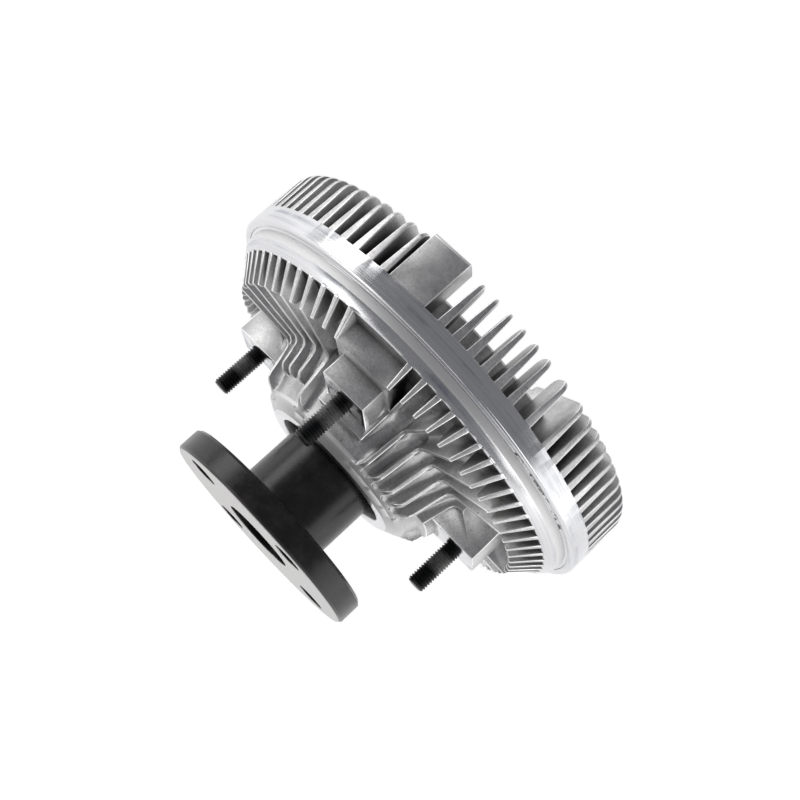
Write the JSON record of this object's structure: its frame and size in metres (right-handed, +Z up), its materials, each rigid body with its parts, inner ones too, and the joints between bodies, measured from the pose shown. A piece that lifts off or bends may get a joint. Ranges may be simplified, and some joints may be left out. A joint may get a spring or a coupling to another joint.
{
  "type": "viscous fan clutch",
  "caption": "Viscous fan clutch: a flanged shaft on a ball bearing inside a finned aluminium housing with fan studs and a bimetal valve.",
  "frame": {"origin": "centre of the flange's mounting face, on the rotation axis", "axes": "+Y along the rotation axis from the mounting flange towards the finned front cover, +Z up with the axis level as installed on the engine"},
  "size_m": [0.19, 0.1112, 0.19],
  "materials": {
    "black_oxide_steel": "black oxide, satin",
    "bearing_steel": "ground",
    "cage_brass": "machined",
    "seal_rubber": "matt",
    "spring_steel": "phosphated",
    "cast_aluminium": "as cast, with machined rims",
    "plated_sheet": "zinc plated",
    "bimetal_strip": "rolled strip"
  },
  "bodies": {
    "input": {"input_shaft": "black_oxide_steel", "bearing_inner_ring": "bearing_steel", "rotor": "cast_aluminium"},
    "clutch_housing": {"rear_housing": "cast_aluminium", "front_cover": "cast_aluminium", "fan_studs": "black_oxide_steel", "bearing_outer_ring": "bearing_steel", "bearing_rear_seal": "seal_rubber", "bearing_front_seal": "seal_rubber", "bearing_circlip": "spring_steel", "body_seal_ring": "seal_rubber", "pump_plate": "plated_sheet", "pump_plate_ring": "spring_steel", "scavenge_wiper": "plated_sheet", "valve_shaft_seal": "seal_rubber"},
    "ball_cage": {"bearing_cage": "cage_brass", "bearing_balls": "bearing_steel"},
    "valve": {"valve_shaft": "bearing_steel", "valve_arm": "plated_sheet", "valve_clip": "spring_steel", "bimetal_coil": "bimetal_strip"}
  },
  "joints": [
    {"name": "housing_spin", "type": "hinge", "parent": "input", "child": "clutch_housing", "pos_m": [0, 0.055, 0], "axis": [0, 1, 0], "continuous": true},
    {"name": "cage_spin", "type": "hinge", "parent": "input", "child": "ball_cage", "pos_m": [0, 0.055, 0], "axis": [0, 1, 0], "continuous": true},
    {"name": "valve_turn", "type": "hinge", "parent": "clutch_housing", "child": "valve", "pos_m": [0, 0.097, 0], "axis": [0, 1, 0], "range_deg": [0, 40], "deforming": ["bimetal_coil"]}
  ],
  "couplings": [
    {"joint": "cage_spin", "follows": "housing_spin", "ratio": 0.5731}
  ]
}
